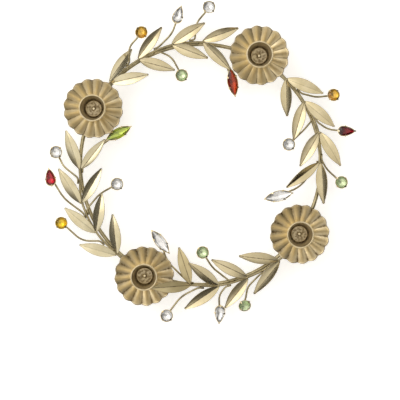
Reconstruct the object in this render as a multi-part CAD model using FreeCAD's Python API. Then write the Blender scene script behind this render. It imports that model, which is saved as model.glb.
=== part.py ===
import FreeCAD, Part
import math
import os

# Candle ring: a round wire ring on four ball feet. It carries four daisy drip
# pans with candle cups, and between them four sprays of folded leaves and glass
# stones. All lengths are millimetres, +Z is up, and the origin is the middle of
# the ring at the height of the table. Bearings and other angles are degrees,
# counted from +X towards +Y. Bearings that fall go clockwise, seen from above.

Vector = FreeCAD.Vector
Rotation = FreeCAD.Rotation
Placement = FreeCAD.Placement

# Ring and feet
ring_diameter = 250.0
rod_diameter = 4.2
foot_diameter = 12.5
foot_neck = 0.8
stud_diameter = 2.6
stud_depth = 4.0
stud_clearance = 0.05

# Drip pans
pan_rise = 9.4
pan_sheet = 0.7
pan_flat_diameter = 20.4
petal_count = 16
petal_scallop = 1.5
petal_crown = 2.1

# Candle cups
cup_base_diameter = 19.8
cup_mouth_diameter = 24.8
cup_body_height = 22.3
cup_lip_height = 1.55
cup_sheet = 0.6
cup_corner_radius = 1.2
cup_lip_flare = 0.9
cup_bead_diameter = 1.9
candle_seat_diameter = 16.8
candle_seat_rise = 3.0
candle_seat_edge_radius = 0.8

# Rivet that holds each cup to its pan
rivet_diameter = 2.4
rivet_dimple = 0.4
rivet_clearance = 0.05

# Spray stems and gem stalks
stem_diameter = 2.5
stem_lift = 0.05
stalk_diameter = 1.6
solder_gap = 0.15
stem_step_angle = 6.0
root_length_angle = 2.6

# Leaves
leaf_sheet = 0.5
leaf_bend_radius = 82.0
leaf_petiole_width = 1.3
leaf_tip_radius = 0.8
leaf_petiole_offset = 1.1
leaf_gap = 0.15

# Stones and their settings
round_stone_diameter = 11.9
pear_stone_length = 17.2
pear_stone_width = 9.8
marquise_stone_length = 28.4
marquise_stone_width = 10.2
stone_girdle = 0.6
stone_crown = 1.7
stone_pavilion = 2.9
stone_clearance = 0.1
stone_facets = 16
setting_wall = 0.5
setting_tip_wall = 0.9
setting_depth = 4.0
setting_floor = 0.5
setting_rim = 0.4
claw_width = 1.4
claw_thickness = 0.45
claw_reach = 1.1
claw_drop = 1.0

# One overrun for every cut
overrun = 1.0

# Pans and leaves are made to the size of their ring, as shares of its diameter
pan_diameter_share = 0.2464
leaf_length_share = 0.1544
leaf_width_share = 0.0512

# Shares without a unit
bend_share = 0.45
table_share = 0.58
culet_share = 0.22
setting_base_share = 0.7
pan_section_shares = ((0.0, 0.0, 0.0), (0.3, 0.22, 0.35), (0.65, 0.58, 0.72), (1.0, 1.0, 1.0))
leaf_widest_share = 0.5
knee_height_share = 0.55

# Points that are looked at along a stone's outline
outline_samples = 361

# Where each flower stands: bearing, share of the ring's radius, and its own turn
flower_place_shares = {
    "top_left": (152.4, 1.000, 2.1),
    "top_right": (61.7, 1.024, -5.7),
    "bottom_right": (-35.1, 1.001, -4.4),
    "bottom_left": (-116.7, 1.033, -5.5),
}

# Line of each stem along the ring: bearing, and share of the ring's radius
stem_line_shares = {
    "top": ((143.0, 1.018), (137.3, 1.012), (120.2, 1.010), (103.2, 1.022), (87.6, 1.016)),
    "right": ((52.5, 1.020), (44.7, 1.003), (31.0, 1.005), (15.3, 1.018), (-0.4, 0.985)),
    "bottom": ((-45.0, 1.030), (-51.0, 1.027), (-67.6, 1.015), (-81.3, 1.018), (-96.0, 1.000)),
    "left": ((-126.2, 1.018), (-133.2, 1.016), (-147.2, 1.034), (-162.2, 1.034), (-179.0, 0.996)),
}

# Leaves, outer then inner of each pair: bearing of the pair, then for each leaf
# splay from the stem, rise of its tip, how far its left and its right half are
# folded up, length share and width share
leaf_shares = {
    "top": (
        (137.3, (9.6, -15.0, 10.0, 34.0, 1.04, 0.92), (-35.8, 11.0, 11.0, 11.0, 0.99, 0.98)),
        (120.2, (23.4, 0.0, 22.0, 22.0, 1.0, 0.96), (-46.1, 6.0, 14.0, 22.0, 0.95, 0.98)),
        (103.1, (18.9, 5.0, 16.0, 17.0, 0.99, 1.0), (-33.3, 7.0, 25.0, 15.0, 0.97, 1.0)),
        (88.6, (21.5, 2.0, 28.0, 18.0, 0.96, 0.98), (-43.6, 10.0, 29.0, 16.0, 1.0, 0.98)),
    ),
    "right": (
        (44.7, (22.8, 5.0, 9.0, 9.0, 1.0, 1.0), (-42.9, 6.0, 36.0, 12.0, 0.94, 1.0)),
        (31.0, (18.1, 4.0, 9.0, 10.0, 0.99, 1.0), (-46.2, 7.0, 24.0, 13.0, 1.01, 1.0)),
        (14.9, (16.5, 4.0, 15.0, 9.0, 1.0, 1.0), (-44.0, 7.0, 22.0, 13.0, 0.98, 1.0)),
        (0.5, (3.2, 11.0, 36.0, 12.0, 1.05, 1.0), (-53.7, 10.0, 14.0, 36.0, 1.04, 0.94)),
    ),
    "bottom": (
        (-51.0, (12.6, 5.0, 38.0, 12.0, 1.05, 0.96), (-45.0, 5.0, 28.0, 14.0, 1.01, 0.98)),
        (-67.7, (30.0, 4.0, 22.0, 18.0, 0.95, 0.96), (-48.4, 7.0, 14.0, 17.0, 1.01, 0.98)),
        (-81.5, (23.8, 5.0, 17.0, 25.0, 1.04, 1.0), (-45.3, 11.0, 30.0, 12.0, 0.97, 0.98)),
        (-95.0, (6.5, 26.0, 10.0, 12.0, 1.09, 0.94), (-67.8, 2.0, 14.0, 16.0, 0.98, 0.98)),
    ),
    "left": (
        (-133.2, (28.0, 3.0, 9.0, 8.0, 0.97, 0.96), (-40.0, 5.0, 24.0, 19.0, 1.01, 0.98)),
        (-147.2, (17.8, 4.0, 9.0, 14.0, 1.0, 0.96), (-40.8, 5.0, 25.0, 21.0, 1.0, 0.98)),
        (-162.3, (15.0, 5.0, 21.0, 16.0, 1.04, 0.98), (-47.2, 5.0, 26.0, 21.0, 1.0, 0.98)),
        (-178.2, (17.4, 7.0, 16.0, 13.0, 1.03, 0.98), (-41.3, 8.0, 13.0, 24.0, 0.97, 0.9)),
    ),
}

# Gems: stone shape and colour, bearing and share of the ring's radius of the
# stone, its height as a share of the cup rim's height, heading of its long axis,
# lean away from the ring's middle, then bearing of the stalk's root, and bearing
# and radius share of the stalk's knee
gem_shares = {
    "top": (
        ("round", "amber", 114.1, 1.197, 0.590, 0.0, 4.0, 125.0, 121.4, 1.140),
        ("pear", "clear", 98.4, 1.252, 0.590, 70.9, 0.0, 109.5, 102.2, 1.112),
        ("round", "clear", 86.9, 1.308, 0.450, 0.0, 6.0, 92.6, 91.6, 1.180),
        ("round", "green", 101.9, 0.755, 0.520, 0.0, 0.0, 110.2, 105.0, 0.925),
        ("marquise", "orange", 68.6, 0.732, 0.500, -80.2, 0.0, 88.6, 77.0, 0.890),
    ),
    "right": (
        ("round", "amber", 27.6, 1.246, 0.440, 0.0, 6.0, 35.3, 30.2, 1.112),
        ("pear", "dark_red", 12.9, 1.244, 0.470, 0.0, 6.0, 19.9, 15.4, 1.098),
        ("round", "clear", 12.8, 0.748, 0.660, 0.0, 0.0, 21.7, 18.8, 0.914),
        ("round", "green", -7.2, 1.179, 0.460, 0.0, 0.0, 2.4, -2.2, 1.050),
        ("marquise", "clear", -22.0, 0.694, 0.680, 192.2, 0.0, -0.8, -13.0, 0.840),
    ),
    "bottom": (
        ("round", "green", -88.6, 0.728, 0.570, 0.0, 0.0, -75.9, -83.4, 0.862),
        ("round", "green", -72.6, 1.225, 0.510, 0.0, 24.0, -61.4, -69.0, 1.090),
        ("pear", "clear", -82.7, 1.254, 0.460, -94.6, 0.0, -78.4, -82.0, 1.100),
        ("round", "clear", -102.6, 1.285, 0.460, 0.0, 0.0, -91.0, -98.4, 1.108),
        ("marquise", "clear", -117.5, 0.720, 0.560, 127.3, 0.0, -96.0, -109.0, 0.850),
    ),
    "left": (
        ("round", "yellow", -157.2, 1.254, 0.410, 0.0, 0.0, -142.7, -147.2, 1.174),
        ("pear", "red", -175.2, 1.252, 0.420, 100.0, 0.0, -157.4, -166.0, 1.172),
        ("round", "clear", 175.1, 1.206, 0.370, 0.0, 0.0, -173.7, -179.2, 1.140),
        ("round", "clear", -166.8, 0.710, 0.510, 0.0, 0.0, -158.5, -163.8, 0.872),
        ("marquise", "olive", 159.1, 0.727, 0.520, 28.1, 0.0, -178.6, 171.0, 0.870),
    ),
}

# Angles of the claws round each outline, from its long axis
claw_angles = {
    "round": (45.0, 135.0, 225.0, 315.0),
    "pear": (0.0, 105.0, 180.0, 255.0),
    "marquise": (0.0, 38.0, 142.0, 180.0, 218.0, 322.0),
}

# Sizes that follow from the driving ones
ring_radius = ring_diameter / 2
pan_diameter = ring_diameter * pan_diameter_share
leaf_length = ring_diameter * leaf_length_share
leaf_width = ring_diameter * leaf_width_share
rod_radius = rod_diameter / 2
foot_radius = foot_diameter / 2
stem_radius = stem_diameter / 2
stalk_radius = stalk_diameter / 2
rod_height = foot_diameter + foot_neck + rod_radius
pan_height = rod_height + rod_radius
cup_height_at_base = pan_height + pan_sheet
cup_height = cup_body_height + cup_lip_height + cup_bead_diameter / 2
rim_height = cup_height_at_base + cup_height
stem_height = pan_height + stem_lift + stem_radius


def spot(bearing, share, height):
    """A point by its bearing, its share of the ring's radius, and its height."""
    angle = math.radians(bearing)
    radius = ring_radius * share
    return Vector(radius * math.cos(angle), radius * math.sin(angle), height)


def heading_vector(angle):
    """Unit vector in the level plane."""
    return Vector(math.cos(math.radians(angle)), math.sin(math.radians(angle)), 0)


def turned(shape, place, rotation):
    """The shape turned about its own origin and then moved to a place."""
    moved = shape.copy()
    moved.Placement = Placement(place, rotation)
    return moved


def closed_solid(faces):
    """One solid from faces that close a volume."""
    shell = Part.makeShell(faces)
    shell.sewShape()
    solid = Part.makeSolid(shell)
    if solid.Volume < 0:
        solid.reverse()
    return solid


def bent_path(points):
    """Straight runs joined by tangent arcs, as wire is bent round a former."""
    edges = []
    start = points[0]
    for before, corner, after in zip(points, points[1:], points[2:]):
        run_in = corner - before
        run_out = after - corner
        half_turn = run_in.getAngle(run_out) / 2
        trim = bend_share * min(run_in.Length, run_out.Length)
        radius = trim / math.tan(half_turn)
        run_in.normalize()
        run_out.normalize()
        arc_start = corner - run_in * trim
        arc_end = corner + run_out * trim
        inward = run_out - run_in
        inward.normalize()
        middle = corner + inward * (radius / math.cos(half_turn) - radius)
        edges.append(Part.LineSegment(start, arc_start).toShape())
        edges.append(Part.Arc(arc_start, middle, arc_end).toShape())
        start = arc_end
    edges.append(Part.LineSegment(start, points[-1]).toShape())
    return Part.Wire(edges)


def bent_wire(points, diameter):
    """A round wire along a bent path."""
    section = Part.Wire(Part.makeCircle(diameter / 2, points[0], points[1] - points[0]))
    return bent_path(points).makePipeShell([section], True, False)


def ring_rod():
    """The ring, a rod bent round and welded end to end."""
    return Part.makeTorus(ring_radius, rod_radius, Vector(0, 0, rod_height))


def foot_stud(place):
    """Short stud, saddled to the rod above it and glued into its foot below."""
    base = foot_diameter - stud_depth
    stud = Part.makeCylinder(stud_diameter / 2, rod_height - base, place + Vector(0, 0, base))
    return stud.cut(ring_rod())


def foot_ball(place):
    """Ball foot with a blind hole for its stud."""
    ball = Part.makeSphere(foot_radius, place + Vector(0, 0, foot_radius))
    base = foot_diameter - stud_depth
    bore_radius = stud_diameter / 2 + stud_clearance
    bore = Part.makeCylinder(bore_radius, stud_depth + overrun, place + Vector(0, 0, base))
    return ball.cut(bore)


def petal_wire(reach_share, rise_share, crown_share, lift):
    """Closed line round the pan: one arc for each petal, high in its middle."""
    flat_radius = pan_flat_diameter / 2
    groove_radius = pan_diameter / 2 - petal_scallop
    radius = flat_radius + (groove_radius - flat_radius) * reach_share
    crown = petal_crown * crown_share
    height = pan_rise * rise_share - crown / 2 * reach_share + lift
    step = math.radians(360.0 / petal_count)
    edges = []
    for petal in range(petal_count):
        ends = []
        for angle in (petal * step, (petal + 1) * step):
            ends.append(Vector(radius * math.cos(angle), radius * math.sin(angle), height))
        middle_angle = (petal + 1 / 2) * step
        reach = radius + petal_scallop * reach_share
        middle = Vector(reach * math.cos(middle_angle), reach * math.sin(middle_angle), height + crown)
        edges.append(Part.Arc(ends[0], middle, ends[1]).toShape())
    return Part.Wire(edges)


def drip_pan():
    """Daisy pan pressed from sheet, about its own middle, flat underside at zero."""
    lower = [petal_wire(*shares, 0) for shares in pan_section_shares]
    upper = [petal_wire(*shares, pan_sheet) for shares in pan_section_shares]
    faces = [Part.Face(lower[0]), Part.Face(upper[0])]
    faces += Part.makeLoft(lower, False, False).Faces
    faces += Part.makeLoft(upper, False, False).Faces
    faces += Part.makeLoft([lower[-1], upper[-1]], False, True).Faces
    pan = closed_solid(faces)
    hole = Part.makeCylinder(
        rivet_diameter / 2 + rivet_clearance,
        pan_sheet + 2 * overrun,
        Vector(0, 0, -overrun),
    )
    return pan.cut(hole)


def drawn_wall(base_radius, mouth_radius, bottom, corner):
    """Closed outline of half a tapered cup body, rounded at the foot."""
    top = cup_body_height
    lean = math.atan2(mouth_radius - base_radius, top - bottom)
    corner_mid = corner * (1 - math.sqrt(2) / 2)
    start = Vector(base_radius - corner, 0, bottom)
    end = Vector(base_radius + corner * math.sin(lean), 0, bottom + corner)
    middle = Vector(base_radius - corner_mid, 0, bottom + corner_mid)
    foot = Part.Arc(start, middle, end).toShape()
    side = Part.LineSegment(end, Vector(mouth_radius, 0, top)).toShape()
    floor = Part.LineSegment(Vector(0, 0, bottom), start).toShape()
    lid = Part.LineSegment(Vector(mouth_radius, 0, top), Vector(0, 0, top)).toShape()
    axis = Part.LineSegment(Vector(0, 0, top), Vector(0, 0, bottom)).toShape()
    return Part.Face(Part.Wire([floor, foot, side, lid, axis]))


def candle_seat(radius, top, edge):
    """Round raised floor of the cup, a solid disc with a rounded upper edge."""
    disc = Part.makeCylinder(radius, top)
    rim = [part for part in disc.Edges if part.BoundBox.ZMin > top / 2 and part.Closed]
    return disc.makeFillet(edge, rim)


def candle_cup():
    """Drawn cup about its own axis, underside at zero."""
    axis = Vector(0, 0, 1)
    base_radius = cup_base_diameter / 2
    mouth_radius = cup_mouth_diameter / 2
    body = drawn_wall(base_radius, mouth_radius, 0, cup_corner_radius).revolve(Vector(), axis, 360)
    inside = drawn_wall(
        base_radius - cup_sheet,
        mouth_radius - cup_sheet,
        cup_sheet,
        cup_corner_radius - cup_sheet,
    ).revolve(Vector(), axis, 360)
    seat_radius = candle_seat_diameter / 2
    seat = candle_seat(seat_radius, candle_seat_rise, candle_seat_edge_radius)
    under_seat = candle_seat(
        seat_radius - cup_sheet,
        candle_seat_rise - cup_sheet,
        candle_seat_edge_radius / 2,
    )
    lip_top = cup_body_height + cup_lip_height
    flare_radius = mouth_radius + cup_lip_flare
    lip = Part.makeCone(mouth_radius, flare_radius, lip_top - cup_body_height, Vector(0, 0, cup_body_height))
    lip_inside = Part.makeCone(
        mouth_radius - cup_sheet,
        flare_radius - cup_sheet,
        lip_top - cup_body_height,
        Vector(0, 0, cup_body_height),
    )
    bead = Part.makeTorus(flare_radius - cup_sheet / 2, cup_bead_diameter / 2, Vector(0, 0, lip_top))
    shell = body.cut(inside).fuse(lip.cut(lip_inside)).fuse(bead)
    rivet_hole = Part.makeCylinder(
        rivet_diameter / 2 + rivet_clearance,
        candle_seat_rise + 2 * overrun,
        Vector(0, 0, -overrun),
    )
    return shell.fuse(seat).cut(under_seat).cut(rivet_hole).removeSplitter()


def cup_rivet(place):
    """Rivet from the underside of the pan to just under the candle seat."""
    length = pan_sheet + candle_seat_rise - rivet_dimple
    return Part.makeCylinder(rivet_diameter / 2, length, place)


def stem_share(spray, bearing):
    """Share of the ring's radius at which a spray's stem lies at a bearing."""
    line = stem_line_shares[spray]
    for (bearing_a, share_a), (bearing_b, share_b) in zip(line, line[1:]):
        if bearing_b <= bearing <= bearing_a:
            part = (bearing_a - bearing) / (bearing_a - bearing_b)
            smooth = (1 - math.cos(math.pi * part)) / 2
            return share_a + (share_b - share_a) * smooth
    return line[-1][1]


def spray_stem(spray):
    """Stem of a spray, a wire laid along the top of the ring."""
    first = stem_line_shares[spray][0][0]
    last = stem_line_shares[spray][-1][0]
    steps = math.ceil((first - last) / stem_step_angle)
    points = []
    for step in range(steps + 1):
        bearing = first + (last - first) * step / steps
        points.append(spot(bearing, stem_share(spray, bearing), stem_height))
    return bent_wire(points, stem_diameter)


def leaf_outline(length, left_reach, right_reach):
    """Outline of a leaf, seen from above, from its stalk end to its tip."""
    half_base = leaf_petiole_width / 2
    widest = length * leaf_widest_share
    shoulder = length - leaf_tip_radius
    left_base = Vector(0, half_base, 0)
    right_base = Vector(0, -half_base, 0)
    left_shoulder = Vector(shoulder, leaf_tip_radius, 0)
    right_shoulder = Vector(shoulder, -leaf_tip_radius, 0)
    left = Part.Arc(left_base, Vector(widest, left_reach, 0), left_shoulder).toShape()
    tip = Part.Arc(left_shoulder, Vector(length, 0, 0), right_shoulder).toShape()
    right = Part.Arc(right_shoulder, Vector(widest, -right_reach, 0), right_base).toShape()
    base = Part.LineSegment(right_base, left_base).toShape()
    return Part.Face(Part.Wire([base, left, tip, right]))


def leaf_blade(length, width, left_fold, right_fold):
    """Leaf cut from sheet, creased along its middle and arched from end to end."""
    reach = width / 2 + overrun
    left_rise = reach * math.tan(math.radians(left_fold))
    right_rise = reach * math.tan(math.radians(right_fold))
    corners = [
        Vector(0, reach, left_rise),
        Vector(0, 0, 0),
        Vector(0, -reach, right_rise),
        Vector(0, -reach, right_rise + leaf_sheet),
        Vector(0, 0, leaf_sheet),
        Vector(0, reach, left_rise + leaf_sheet),
        Vector(0, reach, left_rise),
    ]
    section = Part.Face(Part.makePolygon(corners))
    section.translate(Vector(-overrun, 0, 0))
    sweep_angle = 2 * math.degrees(math.asin((length + 2 * overrun) / leaf_bend_radius))
    centre = Vector(-overrun, 0, -leaf_bend_radius)
    sheet = section.revolve(centre, Vector(0, 1, 0), sweep_angle)
    left_reach = width / 2 * math.cos(math.radians(left_fold))
    right_reach = width / 2 * math.cos(math.radians(right_fold))
    outline = leaf_outline(length, left_reach, right_reach)
    outline.translate(Vector(0, 0, -length))
    return sheet.common(outline.extrude(Vector(0, 0, 2 * length)))


def leaf(spray, bearing, splay, rise, left_fold, right_fold, length_share, width_share):
    """One leaf, soldered by its stalk end to the top of the stem."""
    length = leaf_length * length_share
    blade = leaf_blade(length, leaf_width * width_share, left_fold, right_fold)
    side = math.copysign(1, splay)
    heading = bearing - 90.0 + splay
    arch = math.degrees(math.asin(length / leaf_bend_radius)) / 2
    rotation = Rotation(Vector(0, 0, 1), heading)
    rotation = rotation.multiply(Rotation(Vector(0, 1, 0), -rise - arch))
    lean = math.tan(math.radians(min(rise + arch, 0.0))) / math.sin(math.radians(abs(splay)))
    clearance = (stem_radius + leaf_gap) * math.sqrt(1 + lean * lean)
    base = spot(bearing, stem_share(spray, bearing), stem_height + clearance)
    base += heading_vector(bearing) * side * leaf_petiole_offset
    return turned(blade, base, rotation)


def leaf_pair(spray, bearing, outer, inner):
    """Two leaves that leave the stem at one place, one on each side."""
    return Part.makeCompound([leaf(spray, bearing, *outer), leaf(spray, bearing, *inner)])


def outline_arcs(kind, length, width):
    """Arcs of a stone's outline, about its middle, long axis along X."""
    half = length / 2
    side = width / 2
    if kind == "round":
        corner = half * math.sqrt(2) / 2
        places = [(half, 0), (corner, corner), (0, half), (-corner, corner), (-half, 0)]
        places += [(-corner, -corner), (0, -half), (corner, -corner), (half, 0)]
    elif kind == "marquise":
        places = [(half, 0), (0, side), (-half, 0), (0, -side), (half, 0)]
    else:
        butt = side - half
        run = length - side
        radius = (run * run + side * side) / width
        half_angle = math.asin(run / radius) / 2
        bulge = (butt + radius * math.sin(half_angle), side - radius + radius * math.cos(half_angle))
        corner = side * math.sqrt(2) / 2
        places = [(half, 0), bulge, (butt, side), (butt - corner, corner), (-half, 0)]
        places += [(butt - corner, -corner), (butt, -side), (bulge[0], -bulge[1]), (half, 0)]
    points = [Vector(x, y, 0) for x, y in places]
    return [Part.Arc(*points[i:i + 3]) for i in range(0, len(points) - 2, 2)]


def outline_wire(kind, length, width, share, height):
    """Closed wire of a stone's outline at a share of its size and at a height."""
    wire = Part.Wire([arc.toShape() for arc in outline_arcs(kind, length * share, width * share)])
    wire.translate(Vector(0, 0, height))
    return wire


def faceted_stone(kind, length, width):
    """Cut stone: table, crown, girdle, pavilion and a small flat culet."""
    arcs = outline_arcs(kind, length, width)
    cuts = stone_facets // len(arcs)
    corners = []
    for arc in arcs:
        first = arc.FirstParameter
        for cut in range(cuts):
            corners.append(arc.value(first + (arc.LastParameter - first) * cut / cuts))
    half_girdle = stone_girdle / 2
    levels = (
        (culet_share, -half_girdle - stone_pavilion),
        (1, -half_girdle),
        (1, half_girdle),
        (table_share, half_girdle + stone_crown),
    )
    rings = [[corner * share + Vector(0, 0, height) for corner in corners] for share, height in levels]
    faces = [Part.Face(Part.makePolygon(rings[0] + rings[0][:1]))]
    faces.append(Part.Face(Part.makePolygon(rings[-1] + rings[-1][:1])))
    for low, high in zip(rings, rings[1:]):
        for index in range(len(corners)):
            after = (index + 1) % len(corners)
            quad = [low[index], low[after], high[after], high[index], low[index]]
            faces.append(Part.Face(Part.makePolygon(quad)))
    return closed_solid(faces)


def stone_size(kind):
    """Length and width of a stone's outline."""
    if kind == "round":
        return round_stone_diameter, round_stone_diameter
    if kind == "pear":
        return pear_stone_length, pear_stone_width
    return marquise_stone_length, marquise_stone_width


def reach_of(wire, angle):
    """Distance from the middle to an outline in one direction."""
    direction = heading_vector(angle)
    points = wire.discretize(Number=outline_samples)
    nearest = max(points, key=lambda point: (point.x * direction.x + point.y * direction.y) / point.Length)
    return nearest.Length


def claw(stone_reach, rim_reach):
    """One claw, bent over the stone's crown, standing along X."""
    half_girdle = stone_girdle / 2
    crown_slope = stone_crown / (stone_reach * (1 - table_share))
    bottom = setting_rim - claw_drop
    shoulder = half_girdle + stone_clearance
    nose = stone_reach - claw_reach
    nose_height = shoulder + claw_reach * crown_slope
    outside = rim_reach + claw_thickness
    profile = [
        Vector(rim_reach - setting_wall, 0, bottom),
        Vector(outside, 0, bottom),
        Vector(outside, 0, shoulder),
        Vector(stone_reach, 0, shoulder + stone_clearance + claw_thickness),
        Vector(nose, 0, nose_height + stone_clearance + claw_thickness),
        Vector(nose, 0, nose_height + stone_clearance),
        Vector(stone_reach + stone_clearance, 0, shoulder),
        Vector(rim_reach - setting_wall, 0, bottom),
    ]
    face = Part.Face(Part.makePolygon(profile))
    face.translate(Vector(0, -claw_width / 2, 0))
    return face.extrude(Vector(0, claw_width, 0))


def setting(kind):
    """Closed-back setting with claws, about the middle of its stone's girdle."""
    length, width = stone_size(kind)
    tip_wall = setting_wall if kind == "round" else setting_tip_wall
    inner = (length + 2 * stone_clearance, width + 2 * stone_clearance)
    outer = (inner[0] + 2 * tip_wall, inner[1] + 2 * setting_wall)
    pocket_top = setting_rim + overrun
    pocket_floor = setting_floor - setting_depth
    cup = Part.makeLoft(
        [
            outline_wire(kind, *outer, setting_base_share, -setting_depth),
            outline_wire(kind, *outer, 1, setting_rim),
        ],
        True,
        True,
    )
    growth = (1 - setting_base_share) / (setting_depth + setting_rim)
    pocket = Part.makeLoft(
        [
            outline_wire(kind, *inner, setting_base_share, pocket_floor),
            outline_wire(kind, *inner, 1 + growth * overrun, pocket_top),
        ],
        True,
        True,
    )
    result = cup.cut(pocket)
    stone_line = outline_wire(kind, length, width, 1, 0)
    rim_line = outline_wire(kind, *outer, 1, 0)
    for angle in claw_angles[kind]:
        prong = claw(reach_of(stone_line, angle), reach_of(rim_line, angle))
        result = result.fuse(turned(prong, Vector(), Rotation(Vector(0, 0, 1), angle)))
    return result.cut(pocket_liner(kind, length, width))


def pocket_liner(kind, length, width):
    """Room that the stone keeps free of its setting, its own size and clearance."""
    room_length = length + 2 * stone_clearance
    room_width = width + 2 * stone_clearance
    half_girdle = stone_girdle / 2
    return Part.makeLoft(
        [
            outline_wire(kind, room_length, room_width, culet_share, -half_girdle - stone_pavilion),
            outline_wire(kind, room_length, room_width, 1, -half_girdle),
            outline_wire(kind, room_length, room_width, 1, half_girdle),
            outline_wire(kind, room_length, room_width, table_share, half_girdle + stone_crown),
        ],
        True,
        True,
    )


def gem_rotation(bearing, heading, lean):
    """Turn of a gem: its long axis to its heading, its face leaning outwards."""
    sideways = heading_vector(bearing + 90.0)
    return Rotation(sideways, lean).multiply(Rotation(Vector(0, 0, 1), heading))


def gem_stalk(spray, row):
    """Stalk of a gem: soldered beside the stem, bent at a knee, under the setting."""
    kind, colour, bearing, share, height_share, heading, lean, root, knee, knee_share = row
    side = math.copysign(1, share - 1)
    beside = side * (stem_radius + stalk_radius + solder_gap) / ring_radius
    foot = spot(root + root_length_angle, stem_share(spray, root + root_length_angle) + beside, stem_height)
    leave = spot(root, stem_share(spray, root) + beside, stem_height)
    rotation = gem_rotation(bearing, heading, lean)
    under = setting_depth + stalk_radius + solder_gap
    end = spot(bearing, share, rim_height * height_share) + rotation.multVec(Vector(0, 0, -under))
    knee_height = stem_height + (end.z - stem_height) * knee_height_share
    bend = spot(knee, knee_share, knee_height)
    facing = rotation.multVec(Vector(0, 0, 1))
    inward = bend - end
    inward -= facing * inward.dot(facing)
    inward.normalize()
    edge = end + inward * (stone_size(kind)[1] / 2 + setting_wall + stalk_radius)
    return bent_wire([foot, leave, bend, edge, end], stalk_diameter)


def save(name, shape):
    """Write one sub-part to its own file."""
    shape.exportStep(os.path.join("parts", name + ".step"))
    print(name, "solids", len(shape.Solids), "valid", shape.isValid(), "volume", round(shape.Volume, 1))


os.makedirs("parts", exist_ok=True)

save("ring_rod", ring_rod())

pan = drip_pan()
cup = candle_cup()
studs = []
rivets = []
for flower, (bearing, share, turn) in flower_place_shares.items():
    save("foot_ball_" + flower, foot_ball(spot(bearing, 1, 0)))
    studs.append(foot_stud(spot(bearing, 1, 0)))
    facing = Rotation(Vector(0, 0, 1), turn)
    save("drip_pan_" + flower, turned(pan, spot(bearing, share, pan_height), facing))
    save("candle_cup_" + flower, turned(cup, spot(bearing, share, cup_height_at_base), facing))
    rivets.append(cup_rivet(spot(bearing, share, pan_height)))
save("foot_studs", Part.makeCompound(studs))
save("cup_rivets", Part.makeCompound(rivets))

settings = {kind: setting(kind) for kind in claw_angles}
stones = {kind: faceted_stone(kind, *stone_size(kind)) for kind in claw_angles}

for spray, rows in gem_shares.items():
    save("stem_" + spray, spray_stem(spray))
    for number, (bearing, outer, inner) in enumerate(leaf_shares[spray], 1):
        save("leaf_pair_" + spray + "_" + str(number), leaf_pair(spray, bearing, outer, inner))
    save("gem_stalks_" + spray, Part.makeCompound([gem_stalk(spray, row) for row in rows]))
    placed_settings = []
    placed_stones = {}
    for kind, colour, bearing, share, height_share, heading, lean, *stalk in rows:
        place = spot(bearing, share, rim_height * height_share)
        rotation = gem_rotation(bearing, heading, lean)
        placed_settings.append(turned(settings[kind], place, rotation))
        placed_stones.setdefault(colour, []).append(turned(stones[kind], place, rotation))
    save("gem_settings_" + spray, Part.makeCompound(placed_settings))
    for colour, group in placed_stones.items():
        save("stones_" + spray + "_" + colour, Part.makeCompound(group))
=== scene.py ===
# %% [markdown]
# A candle ring of gilt wire, pressed pans and cut glass.
#
# The real object is a welded wire ring on four ball feet. Four daisy pans with candle
# cups are riveted to it, and four sprays of folded sheet leaves and claw-set stones run
# along it. The solids of the ring are loaded first, at their true size and place. The
# cells that make a piece read what they need from them, such as the place of a pan or the
# tip of a leaf, and build the finer shape that the eye expects there.

# %% Load the packed ring
import math
import random

import bmesh
import bpy
import numpy as np
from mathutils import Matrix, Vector, noise


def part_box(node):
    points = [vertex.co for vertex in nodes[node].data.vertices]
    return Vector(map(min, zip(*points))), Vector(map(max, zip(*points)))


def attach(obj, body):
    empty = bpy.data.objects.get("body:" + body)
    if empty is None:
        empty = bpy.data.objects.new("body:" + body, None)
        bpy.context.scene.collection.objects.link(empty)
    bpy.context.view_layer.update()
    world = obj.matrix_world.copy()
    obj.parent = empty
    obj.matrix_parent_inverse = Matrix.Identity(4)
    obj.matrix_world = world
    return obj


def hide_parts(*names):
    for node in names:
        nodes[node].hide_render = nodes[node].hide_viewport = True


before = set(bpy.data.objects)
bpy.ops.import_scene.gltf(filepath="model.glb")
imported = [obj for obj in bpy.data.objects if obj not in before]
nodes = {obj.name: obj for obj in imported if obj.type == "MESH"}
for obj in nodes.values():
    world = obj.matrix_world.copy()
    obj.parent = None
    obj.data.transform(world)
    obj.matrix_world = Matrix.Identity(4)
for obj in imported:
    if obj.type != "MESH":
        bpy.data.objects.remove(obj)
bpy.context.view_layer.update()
MM = 0.001

# %% [markdown]
# Colour management comes before colour. The Standard view shows a colour as it is
# written, so a hex value read from gilt metal or glass can be used as it is.
#
# The camera stands straight above the ring, as in the photograph, and far away, so that
# the cups are seen nearly square. An orthographic camera would show every cup alike. A
# long lens keeps the slight difference from one side of the ring to the other. The ring
# isn't in the middle of the picture, and a small lens shift puts it in its place without
# turning the camera.

# %% Camera above the ring
scene = bpy.context.scene
scene.view_settings.view_transform = "Standard"

camera_height = 1700 * MM
ring_plane_height = 15 * MM
pixel_size = 1.04 * MM
picture_pixels = 400
ring_centre_pixel = (200.5, 164.5)
far_clip = 100000 * MM

camera_data = bpy.data.cameras.new("plan_camera")
camera = bpy.data.objects.new("plan_camera", camera_data)
scene.collection.objects.link(camera)
scene.camera = camera
camera.location = (0, 0, camera_height)
view_width = picture_pixels * pixel_size
camera_data.lens = camera_data.sensor_width * (camera_height - ring_plane_height) / view_width
camera_data.shift_x = (picture_pixels / 2 - ring_centre_pixel[0]) / picture_pixels
camera_data.shift_y = (ring_centre_pixel[1] - picture_pixels / 2) / picture_pixels
camera_data.clip_end = far_clip
print("lens in mm", round(camera_data.lens, 1), "view in mm", round(view_width / MM))

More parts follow.
